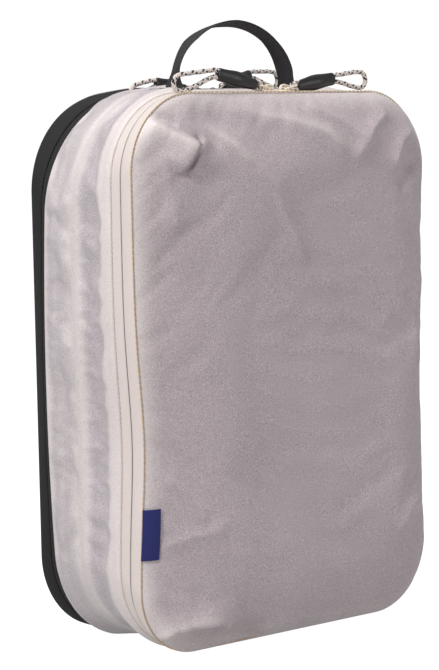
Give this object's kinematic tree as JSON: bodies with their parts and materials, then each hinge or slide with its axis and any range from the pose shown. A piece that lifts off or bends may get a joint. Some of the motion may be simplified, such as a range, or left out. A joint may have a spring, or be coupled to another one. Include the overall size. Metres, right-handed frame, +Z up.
{
  "type": "compression packing cube",
  "caption": "Soft fabric packing cube: a zip-open front panel, a second zip that lets the case expand, cord zip pulls and a webbing handle.",
  "frame": {"origin": "middle of the base the cube stands on", "axes": "+Z up towards the handle, +Y from the front panel to the back panel, +X along the zips' top run to the right as seen from the front"},
  "size_m": [0.26, 0.1316, 0.3987],
  "materials": {
    "shell_nylon": "satin",
    "cream_tape": "satin",
    "black_tape": "satin",
    "cream_coil": "satin",
    "black_coil": "satin",
    "black_webbing": "matte",
    "piping_thread": "satin",
    "blue_tag": "satin",
    "cream_paint": "satin",
    "black_paint": "satin",
    "cord": "matte",
    "black_rubber": "matte"
  },
  "bodies": {
    "shell": {"side_band": "shell_nylon", "band_stay_tape": "cream_tape", "main_zip_tape_shell": "cream_tape", "main_zip_coil_shell": "cream_coil", "hinge_strip": "shell_nylon", "zip_end_stops": "cream_paint", "compression_zip_tape_shell": "black_tape", "compression_zip_coil_shell": "black_coil", "expansion_gusset": "shell_nylon", "handle_anchor_left": "black_webbing", "handle_anchor_right": "black_webbing"},
    "lid": {"front_panel": "shell_nylon", "main_zip_tape_lid": "cream_tape", "main_zip_coil_lid": "cream_coil", "front_piping": "piping_thread", "front_seam_binding": "cream_tape", "side_tag": "blue_tag"},
    "back": {"back_panel": "shell_nylon", "compression_zip_tape_back": "black_tape", "compression_zip_coil_back": "black_coil", "back_seam_binding": "black_tape"},
    "handle": {"handle_loop": "black_webbing"},
    "main_slider_left": {"main_slider_left": "cream_paint"},
    "main_pull_left": {"main_ring_left": "cream_paint", "main_cord_left": "cord", "main_grip_left": "black_rubber"},
    "main_slider_right": {"main_slider_right": "cream_paint"},
    "main_pull_right": {"main_ring_right": "cream_paint", "main_cord_right": "cord", "main_grip_right": "black_rubber"},
    "compression_slider_left": {"compression_slider_left": "black_paint"},
    "compression_pull_left": {"compression_ring_left": "black_paint", "compression_cord_left": "cord", "compression_grip_left": "black_rubber"},
    "compression_slider_right": {"compression_slider_right": "black_paint"},
    "compression_pull_right": {"compression_ring_right": "black_paint", "compression_cord_right": "cord", "compression_grip_right": "black_rubber"}
  },
  "joints": [
    {"name": "lid_hinge", "type": "hinge", "parent": "shell", "child": "lid", "pos_m": [0, -0.042, 0.0026], "axis": [1, 0, 0], "range_deg": [0, 90]},
    {"name": "expansion", "type": "slide", "parent": "shell", "child": "back", "axis": [0, 1, 0], "range_m": [0, 0.035], "deforming": ["expansion_gusset"]},
    {"name": "handle_swing", "type": "hinge", "parent": "shell", "child": "handle", "pos_m": [0, 0, 0.3569], "axis": [1, 0, 0], "range_deg": [-50, 50]},
    {"name": "main_zip_left", "type": "slide", "parent": "shell", "child": "main_slider_left", "axis": [-1, 0, 0], "range_m": [0, 0.05]},
    {"name": "main_pull_left_swing", "type": "hinge", "parent": "main_slider_left", "child": "main_pull_left", "pos_m": [-0.0018, -0.042, 0.3543], "axis": [0, 1, 0], "range_deg": [0, 120]},
    {"name": "main_zip_right", "type": "slide", "parent": "shell", "child": "main_slider_right", "axis": [1, 0, 0], "range_m": [0, 0.05]},
    {"name": "main_pull_right_swing", "type": "hinge", "parent": "main_slider_right", "child": "main_pull_right", "pos_m": [0.0118, -0.042, 0.3543], "axis": [0, -1, 0], "range_deg": [0, 120]},
    {"name": "compression_zip_left", "type": "slide", "parent": "shell", "child": "compression_slider_left", "axis": [-1, 0, 0], "range_m": [0, 0.05]},
    {"name": "compression_pull_left_swing", "type": "hinge", "parent": "compression_slider_left", "child": "compression_pull_left", "pos_m": [0.0112, 0.042, 0.3543], "axis": [0, 1, 0], "range_deg": [0, 110]},
    {"name": "compression_zip_right", "type": "slide", "parent": "shell", "child": "compression_slider_right", "axis": [1, 0, 0], "range_m": [0, 0.037]},
    {"name": "compression_pull_right_swing", "type": "hinge", "parent": "compression_slider_right", "child": "compression_pull_right", "pos_m": [0.0248, 0.042, 0.3543], "axis": [0, -1, 0], "range_deg": [0, 110]}
  ]
}
